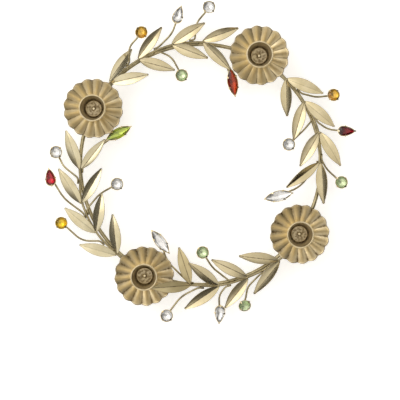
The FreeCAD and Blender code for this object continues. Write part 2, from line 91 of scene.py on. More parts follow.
# %% [markdown]
# Every material below is a small net of nodes. One helper adds a node, sets its sockets
# and links its inputs, so that each net reads as a list of what it is made of. Colours
# are written as sRGB hex values, and another helper turns them into the linear values
# that the renderer works with. A Mix node has sockets for every kind of data, and some of
# them share a name, so its factor and its colours are picked by number.

# %% Helpers for materials
MIX_FACTOR = 0
MIX_FIRST = 6
MIX_SECOND = 7
MIX_RESULT = 2


def colour(hex_code):
    """Linear RGBA of an sRGB hex value."""
    channels = [int(hex_code[i:i + 2], 16) / 255 for i in (1, 3, 5)]
    linear = [c / 12.92 if c <= 0.04045 else ((c + 0.055) / 1.055) ** 2.4 for c in channels]
    return (*linear, 1.0)


def add_node(tree, kind, values=None, links=None, **settings):
    """Add a node, with its settings, the values of its sockets, and what feeds them."""
    made = tree.nodes.new(kind)
    for name, setting in settings.items():
        setattr(made, name, setting)
    for name, value in (values or {}).items():
        made.inputs[name].default_value = value
    for name, output in (links or {}).items():
        tree.links.new(output, made.inputs[name])
    return made


def new_material(name):
    """An empty node material and its tree."""
    material = bpy.data.materials.new(name)
    material.use_nodes = True
    material.node_tree.nodes.clear()
    return material, material.node_tree


print("middle grey in linear light", round(colour("#808080")[0], 3))

# %% [markdown]
# The pans, cups, leaves and wires are all gilt metal, and differ in how they were made.
# Each is a metal shader whose colour drifts in patches several millimetres wide, as a
# lacquer does, with dark patina where the lacquer collects, and painted shade in the
# grooves and creases. A painted picture could hold both. A value on each point of the
# mesh needs no picture and follows the shape, so the mesh carries a value for its grooves
# and creases that paints them dark, partly as patina and partly as shade, and a mottle of
# 2.4 mm makes it uneven, as wiping does. A fine grain breaks the reflections, and where it
# is strongest it holds a speck of patina. The real grain is finer than the picture can
# show, so it is drawn coarser. Colour, patina and painted shade come first.

# %% Colour, patina and painted shade of gilt metal
mottle_size = 2.4 * MM


def drifting_colour(tree, place, face, shade, patch):
    """Two tones of lacquer that drift into each other in wide patches."""
    patches = add_node(
        tree,
        "ShaderNodeTexNoise",
        {"Scale": 1 / patch, "Detail": 3, "Roughness": 0.55},
        {"Vector": place},
    )
    drift = add_node(
        tree,
        "ShaderNodeMapRange",
        {"From Min": 0.35, "From Max": 0.68},
        {"Value": patches.outputs["Fac"]},
    )
    tint = add_node(
        tree,
        "ShaderNodeMix",
        {MIX_FIRST: colour(face), MIX_SECOND: colour(shade)},
        {MIX_FACTOR: drift.outputs["Result"]},
        data_type="RGBA",
    )
    return tint.outputs[MIX_RESULT]


def patina_and_shade_amount(tree, place, grain, speckle):
    """How much patina and painted shade show: dark in the grooves and creases of the mesh, and
    specks of patina in the grain.
    """
    specks = add_node(
        tree,
        "ShaderNodeMapRange",
        {"From Min": 0.62, "From Max": 0.78, "To Max": speckle},
        {"Value": grain},
    )
    mottle = add_node(
        tree,
        "ShaderNodeTexNoise",
        {"Scale": 1 / mottle_size, "Detail": 2},
        {"Vector": place},
    )
    unevenness = add_node(
        tree,
        "ShaderNodeMapRange",
        {"From Min": 0.4, "From Max": 0.6, "To Min": 0.65, "To Max": 1.2},
        {"Value": mottle.outputs["Fac"]},
    )
    # The value on the mesh paints grooves and creases dark: patina, and painted shade.
    laid = add_node(tree, "ShaderNodeAttribute", attribute_name="patina_and_shade")
    groove = add_node(
        tree,
        "ShaderNodeMath",
        {},
        {0: laid.outputs["Fac"], 1: unevenness.outputs["Result"]},
        operation="MULTIPLY",
    )
    dark = add_node(
        tree,
        "ShaderNodeMath",
        {},
        {0: specks.outputs["Result"], 1: groove.outputs["Value"]},
        operation="MAXIMUM",
    )
    return dark.outputs["Value"]


print("mottle in mm", round(mottle_size / MM, 1))

# %% [markdown]
# The metal itself takes that colour, its patina and painted shade, a gloss that follows
# the grain, and the grain's faint relief. Every gilt piece could have nodes of its own. One
# recipe with values for each piece is shorter, and keeps them alike, as pieces plated
# together are.


# %% One recipe for gilt metal
def gilt_metal(
    name,
    face,
    shade,
    patina_and_shade,
    patch,
    grain,
    roughness,
    relief,
    stretch=1,
    coordinates="object",
    metallic=1.0,
    speckle=0.55,
):
    """Metal with drifting colour, patina and painted shade in its grooves, and a fine grain."""
    material, tree = new_material(name)
    if coordinates == "grain":
        place = add_node(tree, "ShaderNodeAttribute", attribute_name="grain").outputs["Vector"]
    else:
        place = add_node(tree, "ShaderNodeTexCoord").outputs["Object"]
    stretched = add_node(
        tree,
        "ShaderNodeVectorMath",
        {1: (1 / (grain * stretch), 1 / grain, 1 / grain)},
        {0: place},
        operation="MULTIPLY",
    )
    grains = add_node(
        tree,
        "ShaderNodeTexNoise",
        {"Scale": 1, "Detail": 4, "Roughness": 0.6},
        {"Vector": stretched.outputs["Vector"]},
    )
    # Patina and painted shade darken the lacquer's colour here.
    skin = add_node(
        tree,
        "ShaderNodeMix",
        {MIX_SECOND: colour(patina_and_shade)},
        {
            MIX_FACTOR: patina_and_shade_amount(tree, place, grains.outputs["Fac"], speckle),
            MIX_FIRST: drifting_colour(tree, place, face, shade, patch),
        },
        data_type="RGBA",
    )
    gloss = add_node(
        tree,
        "ShaderNodeMapRange",
        {"To Min": roughness[0], "To Max": roughness[1]},
        {"Value": grains.outputs["Fac"]},
    )
    bump = add_node(
        tree,
        "ShaderNodeBump",
        {"Strength": 0.6, "Distance": relief},
        {"Height": grains.outputs["Fac"]},
    )
    metal = add_node(
        tree,
        "ShaderNodeBsdfPrincipled",
        {"Metallic": metallic},
        {
            "Base Color": skin.outputs[MIX_RESULT],
            "Roughness": gloss.outputs["Result"],
            "Normal": bump.outputs["Normal"],
        },
    )
    add_node(tree, "ShaderNodeOutputMaterial", {}, {"Surface": metal.outputs["BSDF"]})
    return material


print("recipe:", gilt_metal.__doc__)

# %% [markdown]
# Pans and cups are pressed and drawn from sheet steel, plated, and lacquered an antique
# gold. A clear coat over a metal could stand for the lacquer. This one is satin and
# partly covers the metal, so a shader that is less than fully metallic is nearer to it:
# it keeps a soft streak of light on each petal, never goes black, and the brown of patina
# and painted shade shows in its grooves. Its orange peel is about half a millimetre wide,
# and very shallow.

# %% Antique gold lacquer on pressed steel
pressed_gold = gilt_metal(
    "antique_gold_lacquer_on_pressed_steel",
    face="#FAEAC4",
    shade="#ECD9AA",
    patina_and_shade="#624C2A",
    patch=9 * MM,
    grain=0.5 * MM,
    roughness=(0.28, 0.32),
    relief=0.004 * MM,
    metallic=0.76,
    speckle=0.08,
)
print("pans and cups", pressed_gold.name)

# %% [markdown]
# The leaves are stamped from thin brass sheet and brushed from stalk to tip before the
# pale gold lacquer goes on. An anisotropic shader could stretch the reflections. Here the
# brushing is a grain thirty times longer than it is wide, which also shows its streaks,
# and it is laid in a coordinate of the leaf itself, along and across the blade. The eye
# reads the soft, long reflections and the dark line in the crease, which is painted shade.
# The leaves nearest the lamp get a paler copy of the brass, painted light for the lamp's
# nearness. The pair by the bottom left flower gets a satin copy with little metal and a
# yellower colour, painted light that keeps it from going dark where it faces the dark side
# of the room.


# %% Brushed brass for the leaves
def brushed_brass(name, face, shade, metallic=1.0):
    """Sheet brass, brushed along the leaf and lacquered."""
    return gilt_metal(
        name,
        face=face,
        shade=shade,
        patina_and_shade="#4E4029",
        patch=12 * MM,
        grain=0.35 * MM,
        roughness=(0.18, 0.27),
        relief=0.006 * MM,
        stretch=30,
        coordinates="grain",
        metallic=metallic,
    )


leaf_brass = brushed_brass("brushed_champagne_brass_sheet", "#DACDAA", "#CCBE98")
# A paler copy of the brass: painted light on the leaves nearest the lamp.
lamp_lit_leaf_brass = brushed_brass("brushed_brass_sheet_painted_lamp_light", "#E2D8B8", "#D6CAA6")
# A satin copy with little metal and a yellower colour: painted light for the pair that faces the
# dark side of the room.
satin_painted_light_leaf_brass = brushed_brass("satin_brass_sheet_painted_light", "#DACA9C", "#CCBB8C", 0.25)
print("leaves", leaf_brass.name, lamp_lit_leaf_brass.name, satin_painted_light_leaf_brass.name)

# %% [markdown]
# Ring, stems and stalks are drawn steel wire with the same plating, a little greyer, and
# marked by the drawing die. The feet are solid balls, polished before plating, so that
# they mirror the table. The claw settings are stamped brass, bright where the claws were
# burnished down. A chrome look would be too clean for them, so they take the recipe too,
# with colours and a roughness of their own.

# %% Wire, ball feet and settings
wire_gold = gilt_metal(
    "plated_steel_wire",
    face="#B8AC8A",
    shade="#887E60",
    patina_and_shade="#4A3C26",
    patch=7 * MM,
    grain=0.4 * MM,
    roughness=(0.14, 0.3),
    relief=0.02 * MM,
)
polished_ball = gilt_metal(
    "polished_champagne_plating",
    face="#DAD2C2",
    shade="#C8BEA8",
    patina_and_shade="#8E7F60",
    patch=14 * MM,
    grain=0.6 * MM,
    roughness=(0.05, 0.12),
    relief=0.004 * MM,
)
claw_brass = gilt_metal(
    "burnished_brass_settings",
    face="#E8DCBC",
    shade="#C2B088",
    patina_and_shade="#5B4C30",
    patch=3 * MM,
    grain=0.4 * MM,
    roughness=(0.16, 0.3),
    relief=0.01 * MM,
)
print("wire, feet and settings", wire_gold.name, polished_ball.name, claw_brass.name)

# %% [markdown]
# The stones are cut crystal glass with a foil behind them. Light goes in through the
# crown, comes back from the foil on the pavilion, and leaves by another facet, which is
# why such a stone glitters although nothing behind it is lit. Glass alone could be traced
# through every facet, but it would be noisy, and dull without its foil. So each stone gets
# two materials: tinted glass on the crown, and a mirror of the stone's colour on the
# pavilion. The glass tints the light on its way in and out, and the foil in between, so
# both are paler than the stone looks.

# %% Cut glass and its foil
crystal_ior = 1.55
crinkle_size = 2.2 * MM
crinkle_depth = 0.12 * MM
stone_colours = {
    "clear": ("#FFFFFF", "#FFFFFF"),
    "amber": ("#FFF0BC", "#E8C666"),
    "yellow": ("#FFF4A8", "#FFE04A"),
    "green": ("#F2F8E4", "#E6F2D2"),
    "olive": ("#E0EFAC", "#D2D688"),
    "orange": ("#E07C46", "#BE7848"),
    "dark_red": ("#C85068", "#A82038"),
    "red": ("#E87080", "#DC6474"),
}


def glass_crown(name, hex_code):
    """Polished glass that tints what it lets through."""
    material, tree = new_material("cut_glass_" + name)
    shader = add_node(
        tree,
        "ShaderNodeBsdfPrincipled",
        {
            "Base Color": colour(hex_code),
            "Roughness": 0.02,
            "IOR": crystal_ior,
            "Transmission Weight": 1.0,
        },
    )
    add_node(tree, "ShaderNodeOutputMaterial", {}, {"Surface": shader.outputs["BSDF"]})
    return material


def foil_back(name, hex_code):
    """Foil behind the stone, slightly crinkled, in the stone's colour."""
    material, tree = new_material("foil_" + name)
    place = add_node(tree, "ShaderNodeTexCoord").outputs["Object"]
    crinkle = add_node(
        tree,
        "ShaderNodeTexNoise",
        {"Scale": 1 / crinkle_size, "Detail": 2},
        {"Vector": place},
    )
    bump = add_node(
        tree,
        "ShaderNodeBump",
        {"Strength": 0.5, "Distance": crinkle_depth},
        {"Height": crinkle.outputs["Fac"]},
    )
    shader = add_node(
        tree,
        "ShaderNodeBsdfPrincipled",
        {"Base Color": colour(hex_code), "Metallic": 0.85, "Roughness": 0.16},
        {"Normal": bump.outputs["Normal"]},
    )
    add_node(tree, "ShaderNodeOutputMaterial", {}, {"Surface": shader.outputs["BSDF"]})
    return material


crowns = {name: glass_crown(name, pair[0]) for name, pair in stone_colours.items()}
foils = {name: foil_back(name, pair[1]) for name, pair in stone_colours.items()}
print("stone colours", sorted(stone_colours))

# %% [markdown]
# Places are read from the solids and never typed twice. A node can hold several solids,
# such as the two leaves of a pair, so one helper welds the node's mesh, and another walks
# over its edges to tell one solid from the next. Most pieces are then laid out as a grid
# of points, row by row. The round ones place their points round an axis, and a helper
# spans the faces between the points.

# %% Helpers for pieces
weld_distance = 0.001 * MM


def welded(node):
    """The mesh of a node, with the corners of its faces joined."""
    shape = bmesh.new()
    shape.from_mesh(nodes[node].data)
    bmesh.ops.remove_doubles(shape, verts=shape.verts, dist=weld_distance)
    return shape


def solids_of(node):
    """The corner points of each separate solid in a node, in metres."""
    shape = welded(node)
    seen = set()
    found = []
    for start in shape.verts:
        if start.index in seen:
            continue
        seen.add(start.index)
        group = [start]
        for vertex in group:
            for edge in vertex.link_edges:
                other = edge.other_vert(vertex)
                if other.index not in seen:
                    seen.add(other.index)
                    group.append(other)
        found.append(np.array([vertex.co[:] for vertex in group]))
    shape.free()
    return found


def around(middle, radius, angle, height):
    """The point at an angle and a radius round an upright axis."""
    return (middle[0] + radius * math.cos(angle), middle[1] + radius * math.sin(angle), height)


def grid_faces(rows, columns, start=0, closed_rows=False, closed_columns=True):
    """Faces between the points of a grid, whose rows or columns may close into a loop."""
    faces = []
    for row in range(rows if closed_rows else rows - 1):
        here = start + row * columns
        beyond = start + (row + 1) % rows * columns
        for column in range(columns if closed_columns else columns - 1):
            after = (column + 1) % columns
            faces.append((here + column, beyond + column, beyond + after, here + after))
    return faces


def add_piece(name, points, faces, materials, replaced, smooth=True):
    """A mesh piece that rides on the ring and stands for CAD nodes."""
    mesh = bpy.data.meshes.new(name)
    mesh.from_pydata([tuple(point) for point in points], [], faces)
    mesh.validate()
    if smooth:
        mesh.shade_smooth()
    piece = bpy.data.objects.new(name, mesh)
    scene.collection.objects.link(piece)
    for material in materials:
        mesh.materials.append(material)
    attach(piece, "root")
    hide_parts(*replaced)
    return piece


def set_patina_and_shade(piece, values):
    """Store how dark the patina and the painted shade are at each point of a piece."""
    layer = piece.data.attributes.new("patina_and_shade", "FLOAT", "POINT")
    layer.data.foreach_set("value", np.array(values, np.float32))


print("solids in leaf_pair_top_1", len(solids_of("leaf_pair_top_1")))

# %% [markdown]
# A drip pan is pressed from a disc of sheet into sixteen petals, and each pan is turned a
# little differently on the ring. The turn could be typed in four times. It is measured
# on the solids instead: their outermost points are the crests of the petals at the rim.

# %% Place and turn of the pans
flowers = ("top_left", "top_right", "bottom_right", "bottom_left")
petal_count = 16
rim_reading_share = 0.99


def pan_reading(flower):
    """Middle, radius, height range and turn of a pan, from its solid."""
    low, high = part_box("drip_pan_" + flower)
    points = solids_of("drip_pan_" + flower)[0]
    middle = (low + high) / 2
    offsets = points[:, :2] - np.array(middle[:2])
    distances = np.hypot(offsets[:, 0], offsets[:, 1])
    far = offsets[distances > distances.max() * rim_reading_share]
    angles = np.arctan2(far[:, 1], far[:, 0]) * petal_count
    turn = math.atan2(np.sin(angles).mean(), np.cos(angles).mean()) / petal_count
    return middle, distances.max(), low.z, high.z, turn


for flower in flowers:
    print(flower, "pan turned by", round(math.degrees(pan_reading(flower)[-1]), 1), "degrees")

# %% [markdown]
# Each petal is a low rounded ridge that widens to the rim, and a sharp groove parts it
# from the next. A pan could be made with displacement on a disc, but the petals are its
# real shape, so the mesh is a polar grid whose height is worked out at each point: the
# dish, plus the ridge of the petal there. The dish is nearly a cone, a little flatter at
# the middle, and its edge turns down. The grooves and the edge are painted brown: partly
# lacquer that collects there, partly painted shade. In the two lower pans the band is
# wider, which is painted shade for the dimmer near side.

# %% Drip pans
petal_steps = 18
pan_rings = 40
pan_sheet = 0.7 * MM
pan_flat_radius = 10.2 * MM
pan_hole_radius = 1.25 * MM
petal_scallop = 1.5 * MM
petal_crown = 2.4 * MM
pan_lip = 0.35 * MM
pan_lip_start_share = 0.96
pan_cone_share = 0.72
petal_start_power = 0.75
ridge_power = 1.6
groove_power = 1.5
# How wide the dark band in each pan's grooves is. The wider bands of the two lower pans are painted
# shade.
groove_shade_shares = {
    "top_left": 0.3,
    "top_right": 0.26,
    "bottom_right": 0.8,
    "bottom_left": 0.85,
}


def drip_pan(flower):
    """The pressed pan under one candle cup."""
    middle, reach, bottom, top, turn = pan_reading(flower)
    rise = top - bottom - pan_sheet - petal_crown / 2
    groove_reach = reach - petal_scallop
    points = []
    patina_and_shade = []
    count = petal_count * petal_steps
    for ring in range(pan_rings + 1):
        share = ring / pan_rings
        for step in range(count):
            phase = step / petal_steps % 1
            angle = turn + 2 * math.pi * (step / count - 1 / (2 * petal_count))
            ridge = 1 - abs(2 * phase - 1) ** ridge_power
            radius = pan_hole_radius + (groove_reach - pan_hole_radius) * share
            dish = max(0, (radius - pan_flat_radius) / (groove_reach - pan_flat_radius))
            strength = dish ** petal_start_power
            rim = max(0, (share - pan_lip_start_share) / (1 - pan_lip_start_share))
            height = rise * dish * (pan_cone_share + (1 - pan_cone_share) * dish)
            height += petal_crown * strength * (ridge - 0.5) - pan_lip * rim ** 2
            radius += petal_scallop * dish * ridge
            points.append(around(middle, radius, angle, bottom + pan_sheet + height))
            # Grooves and edge are painted dark: patina, and painted shade.
            groove = max(0, 1 - ridge / groove_shade_shares[flower]) ** groove_power
            patina_and_shade.append(max(strength * groove, rim))
    piece = add_piece(
        "pressed_pan_" + flower,
        points,
        grid_faces(pan_rings + 1, count),
        [pressed_gold],
        ["drip_pan_" + flower],
    )
    set_patina_and_shade(piece, patina_and_shade)
    sheet = piece.modifiers.new("sheet", "SOLIDIFY")
    sheet.thickness = pan_sheet
    sheet.offset = -1
    return piece


for flower in flowers:
    pan = drip_pan(flower)
    print(pan.name, "points", len(pan.data.vertices))

# %% [markdown]
# A candle cup is drawn from sheet, its mouth is rolled into a bead, and its floor is
# raised to a seat for the candle. A round shape starts with its outline, which could be a
# curve drawn by hand. Here it is a list of points worked out from the cup's sizes, with
# every rounded corner, and each point also holds how dark it is painted there, from 0 to 1.
# The groove round the seat, the floor, the root of the bead and the foot of the inner wall
# are painted dark as shade, fading up the wall, and the seat is dull, where old wax is
# scraped away.

# %% Outline of a candle cup
corner_steps = 8
bead_steps = 20
cup_base_radius = 9.9 * MM
cup_mouth_radius = 12.4 * MM
cup_wall_height = 22.3 * MM
cup_sheet = 0.6 * MM
cup_corner = 1.2 * MM
cup_flare = 0.9 * MM
cup_bead_radius = 0.95 * MM
seat_radius = 8.4 * MM
seat_rise = 3.0 * MM
seat_edge = 0.8 * MM
rivet_hole_radius = 1.25 * MM
groove_clearance = 0.1 * MM
seat_gap = 0.05 * MM
bead_root = 0.2 * MM
bead_angles = (-45, 225)
outside_wall_shares = (0.2, 0.4, 0.6, 0.8, 0.95, 1.0)
inside_wall_shares = (1.0, 0.9, 0.7, 0.5, 0.3, 0.15, 0.05)
seat_shares = (0.97, 0.85, 0.6, 0.3)
outside_corner_patina = 0.1
# Painted shade under the rolled bead.
bead_root_painted_shade = 0.6
bead_patina = 0.25
# Painted shade deep in the cup, fading up the inner wall, and in the groove round the seat.
wall_painted_shade = 0.9
wall_shade_fade = 0.6
# Painted shade on the floor round the seat and at the rim of the rivet hole.
floor_painted_shade = 0.7
seat_edge_patina = 0.05
seat_patina = 0.75


def arc(centre, radius, start, end, steps):
    """Points of an arc in the plane of radius and height, angles in degrees."""
    points = []
    for step in range(steps + 1):
        angle = math.radians(start + (end - start) * step / steps)
        points.append((centre[0] + radius * math.cos(angle), centre[1] + radius * math.sin(angle)))
    return points


def cup_outline(height):
    """Radius, height, and patina and painted shade round the sheet of a cup, from outside to seat.
    """
    inside_radius = cup_base_radius - cup_sheet
    inside_corner = cup_corner - cup_sheet / 2
    bead_height = height - cup_bead_radius
    bead_middle = cup_mouth_radius + cup_flare - cup_sheet / 2
    outline = [(rivet_hole_radius, 0, 0)]
    corner = arc((cup_base_radius - cup_corner, cup_corner), cup_corner, -90, 0, corner_steps)
    outline += [(radius, z, outside_corner_patina) for radius, z in corner]
    for share in outside_wall_shares:
        radius = cup_base_radius + (cup_mouth_radius - cup_base_radius) * share
        outline.append((radius, cup_corner + (cup_wall_height - cup_corner) * share, 0))
    bead = arc((bead_middle, bead_height), cup_bead_radius, *bead_angles, bead_steps)
    outline.append((bead[0][0] - bead_root, bead[0][1] - bead_root, bead_root_painted_shade))
    outline += [(radius, z, bead_patina) for radius, z in bead]
    depth = inside_corner + cup_sheet
    for share in inside_wall_shares:
        radius = inside_radius + (cup_mouth_radius - cup_base_radius) * share
        # The inner wall is painted darker towards the floor, as shade.
        dark = wall_painted_shade - wall_shade_fade * share
        outline.append((radius, depth + (cup_wall_height - depth) * share, dark))
    floor_centre = (inside_radius - inside_corner, cup_sheet + inside_corner)
    floor = arc(floor_centre, inside_corner, 0, -90, corner_steps)
    outside_seat = seat_radius + groove_clearance
    floor = [(radius, z) for radius, z in floor if radius > outside_seat + seat_gap]
    outline += [(radius, z, floor_painted_shade) for radius, z in floor]
    # The groove round the seat is painted dark, as shade.
    outline.append((outside_seat, cup_sheet, wall_painted_shade))
    edge = arc((seat_radius - seat_edge, seat_rise - seat_edge), seat_edge, 0, 90, corner_steps)
    outline += [(radius, z, seat_edge_patina) for radius, z in edge]
    for share in seat_shares:
        flat = rivet_hole_radius + (seat_radius - seat_edge - rivet_hole_radius) * share
        outline.append((flat, seat_rise, seat_patina))
    outline.append((rivet_hole_radius, seat_rise, floor_painted_shade))
    outline.append((rivet_hole_radius, seat_rise / 2, wall_painted_shade))
    return outline


print("points in the outline", len(cup_outline(cup_wall_height + 2 * cup_bead_radius)))

# %% [markdown]
# A cup is round, so its outline is swept round the upright axis. A Screw modifier could
# do it, but would lose the patina of each point. The sweep is written out instead, in
# steps fine enough for the bead to look round, and its grid closes in both directions.

# %% Candle cups
cup_steps = 96


def drawn_cup(flower):
    """One candle cup: its outline swept round its upright axis."""
    low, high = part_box("candle_cup_" + flower)
    middle = (low + high) / 2
    outline = cup_outline(high.z - low.z)
    points = []
    patina_and_shade = []
    for step in range(cup_steps):
        angle = 2 * math.pi * step / cup_steps
        for radius, height, dark in outline:
            points.append(around(middle, radius, angle, low.z + height))
            patina_and_shade.append(dark)
    piece = add_piece(
        "drawn_cup_" + flower,
        points,
        grid_faces(cup_steps, len(outline), closed_rows=True),
        [pressed_gold],
        ["candle_cup_" + flower],
    )
    set_patina_and_shade(piece, patina_and_shade)
    return piece


for flower in flowers:
    cup = drawn_cup(flower)
    print(cup.name, "points", len(cup.data.vertices))

# %% [markdown]
# The leaves carry most of the light in the picture. Each is a lens of thin sheet, folded
# up along its midrib and bent down along its length, and its two halves face two ways:
# one takes the lamp and the other the dark of the room. Folds and bends could be guessed
# again for the mesh, but the solid already holds them, so they are read from it. The
# bend is a curve fitted to the upper points along the midrib, and the fold is the slope
# from there to the edge.

# %% Fold and bend of a leaf
ring_radius = 125 * MM
reading_tolerance = 0.05 * MM
reading_passes = 6
fold_reading_reach = 1.5 * MM
fold_quantile = 0.9


def leaf_axis(points):
    """Where a leaf starts and ends, by its two farthest points in plan."""
    plan = points[:, :2]
    gaps = np.linalg.norm(plan[:, None] - plan[None, :], axis=2)
    first, last = np.unravel_index(gaps.argmax(), gaps.shape)
    radii = np.linalg.norm(plan, axis=1)
    if abs(radii[first] - ring_radius) > abs(radii[last] - ring_radius):
        first, last = last, first
    return points[first], points[last]


def half_width(x, y, station, side):
    """How far a leaf's outline reaches to one side at a station along it."""
    reach = np.where(y * side > 0, y * side, 0)
    order = np.argsort(x)
    ahead = [(x[i], reach[i]) for i in order]
    hull = []
    for point in ahead:
        while len(hull) > 1:
            (ax, ay), (bx, by) = hull[-2], hull[-1]
            if (bx - ax) * (point[1] - ay) - (by - ay) * (point[0] - ax) < 0:
                break
            hull.pop()
        hull.append(point)
    return float(np.interp(station, [p[0] for p in hull], [p[1] for p in hull]))


def leaf_reading(points):
    """A leaf's heading, length, bend and folds, and its own coordinates."""
    base, tip = leaf_axis(points)
    heading = math.atan2(tip[1] - base[1], tip[0] - base[0])
    along = np.array((math.cos(heading), math.sin(heading)))
    across = np.array((-along[1], along[0]))
    offset = points[:, :2] - base[:2]
    x = offset @ along
    y = offset @ across
    length = x.max()
    middle = np.abs(y) < reading_tolerance
    columns = np.stack([np.ones(middle.sum()), x[middle], x[middle] ** 2], axis=1)
    height = points[middle, 2]
    upper = np.ones(len(height), bool)
    for _ in range(reading_passes):
        bend = np.linalg.lstsq(columns[upper], height[upper], rcond=None)[0]
        upper = height > columns @ bend - reading_tolerance
    folds = []
    for side in (1, -1):
        wide = y * side > fold_reading_reach
        rise = points[wide, 2] - (bend[0] + bend[1] * x[wide] + bend[2] * x[wide] ** 2)
        slopes = rise / (y[wide] * side)
        folds.append(float(np.quantile(slopes, fold_quantile)))
    return base, along, across, x, y, length, bend, folds


*_, length, bend, folds = leaf_reading(solids_of("leaf_pair_top_1")[0])
print("first leaf is", round(length / MM, 1), "mm long and starts", round(bend[0] / MM, 1), "mm up")

# %% [markdown]
# Each leaf is laid out again as a fine grid along and across its blade. A flat strip could
# be bent with a modifier, but it wouldn't follow its own solid so closely. The grid adds
# what stamping leaves behind: a soft midrib, a round tip, a slight cup to each half, and a
# faint wave in the sheet. Each point also keeps how dark it is painted, with painted shade
# along the crease and a dark outline at the edge, and its place along and across the
# blade, which the brushing follows.

# %% Grid of one leaf
leaf_tip_radius = 1.2 * MM
leaf_stations = 56
half_leaf_shares = (0, 0.02, 0.05, 0.1, 0.18, 0.28, 0.4, 0.52, 0.64, 0.76, 0.87, 0.95, 1.0)
leaf_shares = tuple(-share for share in reversed(half_leaf_shares[1:])) + half_leaf_shares
midrib_softness = 0.05 * MM
half_cup = 0.12 * MM
sheet_wave = 0.05 * MM
sheet_wave_length = 7 * MM
crease_width = 0.36 * MM
# Painted shade: a dark line along the crease and a dark outline at the leaf's edge.
inner_crease_painted_shade = 0.9
rim_painted_shade = 0.55
rim_sharpness = 24


def leaf_grid(solid, seed, outer_crease_shade):
    """Points, patina and painted shade, and brushing coordinates of one leaf, from its solid."""
    base, along, across, x, y, length, bend, folds = leaf_reading(solid)
    outer = np.linalg.norm(base[:2] + along * length) > ring_radius
    crease_painted_shade = outer_crease_shade if outer else inner_crease_painted_shade
    points = []
    patina_and_shade = []
    grain = []
    for step in range(leaf_stations + 1):
        station = length * (1 - math.cos(math.pi * step / leaf_stations)) / 2
        behind = station - (length - leaf_tip_radius)
        tip = math.sqrt(max(0, leaf_tip_radius ** 2 - behind ** 2))
        left = max(tip, half_width(x, y, station, 1))
        right = max(tip, half_width(x, y, station, -1))
        for share in leaf_shares:
            side = left if share > 0 else right
            fold = folds[0] if share > 0 else folds[1]
            reach = abs(share) * side
            soft = math.sqrt(reach ** 2 + midrib_softness ** 2) - midrib_softness
            place = base[:2] + along * station + across * reach * (1 if share > 0 else -1)
            wave = noise.noise(Vector((
                station / sheet_wave_length,
                share * side / sheet_wave_length,
                seed,
            )))
            height = bend[0] + bend[1] * station + bend[2] * station ** 2 + fold * soft
            cupped = 1 - (2 * abs(share) - 1) ** 2
            height += sheet_wave * wave - half_cup * cupped
            points.append((place[0], place[1], height))
            # Painted shade along the crease and at the edge.
            crease = crease_painted_shade * math.exp(-(reach / crease_width) ** 2)
            patina_and_shade.append(crease + rim_painted_shade * abs(share) ** rim_sharpness)
            grain.append((station, share * side, seed))
    return points, patina_and_shade, grain


points, patina_and_shade, grain = leaf_grid(solids_of("leaf_pair_top_1")[0], 0, inner_crease_painted_shade)
print("points in one leaf", len(points))

# %% [markdown]
# Two leaves leave the stem together, and one piece holds the pair, as one node of the
# solids does. All sixteen pairs could be copies of one. On the real ring no two are bent
# alike, so each is laid out from its own solids, and its wave and its brushing start at a
# random place. The creases are painted dark, as shade, which is faint in the outer leaves
# of the two side sprays.

# %% Leaves
sprays = ("top", "right", "bottom", "left")
pairs_in_spray = 4
# Pairs that get the paler brass, as painted lamp light.
lamp_lit_pairs = ("leaf_pair_top_1",)
# The pair that gets the satin copy, as painted light.
painted_light_satin_pairs = ("leaf_pair_bottom_4",)
# How dark the crease of each outer leaf is painted, as shade.
outer_crease_painted_shade = {"top": 0.9, "right": 0.3, "bottom": 0.9, "left": 0.3}
leaf_sheet = 0.5 * MM
wave_seeds = 100


def leaf_piece(name, node, solids, brass, outer_crease_shade):
    """Both leaves of a pair as one piece."""
    points = []
    faces = []
    patina_and_shade = []
    grain = []
    for solid in solids:
        faces += grid_faces(leaf_stations + 1, len(leaf_shares), len(points), closed_columns=False)
        grid = leaf_grid(solid, random.random() * wave_seeds, outer_crease_shade)
        points += grid[0]
        patina_and_shade += grid[1]
        grain += grid[2]
    piece = add_piece(name, points, faces, [brass], [node])
    set_patina_and_shade(piece, patina_and_shade)
    layer = piece.data.attributes.new("grain", "FLOAT_VECTOR", "POINT")
    layer.data.foreach_set("vector", np.array(grain, np.float32).ravel())
    sheet = piece.modifiers.new("sheet", "SOLIDIFY")
    sheet.thickness = leaf_sheet
    sheet.offset = -1
    return piece


random.seed(7)
leaf_bases = {spray: [] for spray in sprays}
for spray in sprays:
    for number in range(1, pairs_in_spray + 1):
        node = "leaf_pair_%s_%d" % (spray, number)
        solids = solids_of(node)
        leaf_bases[spray] += [leaf_axis(solid)[0] for solid in solids]
        # The leaves nearest the lamp get the paler brass, as painted light.
        brass = lamp_lit_leaf_brass if node in lamp_lit_pairs or spray == "left" else leaf_brass
        # One pair gets the satin copy, painted light where it faces the dark side of the room.
        brass = satin_painted_light_leaf_brass if node in painted_light_satin_pairs else brass
        name = "folded_leaves_%s_%d" % (spray, number)
        leaves = leaf_piece(name, node, solids, brass, outer_crease_painted_shade[spray])
        folds = [leaf_reading(solid)[-1] for solid in solids]
        degrees = [[round(math.degrees(math.atan(fold))) for fold in pair] for pair in folds]
        print(leaves.name, "folds left and right of each leaf", degrees)

# %% [markdown]
# Every stone sits in its setting with a tilt of its own. The tilts could be typed in, but
# the solids hold them: the table is the broadest level part of a stone, and its normal is
# the stone's axis. Along that axis the corners of a solid lie in four rings: the edge of
# the table, the upper and the lower edge of the girdle, and the culet.

# %% Axis and rings of a stone
girdle_points = 16
rings_in_stone = 4
crown_facing = 0.5
level_with_axis = 0.9999


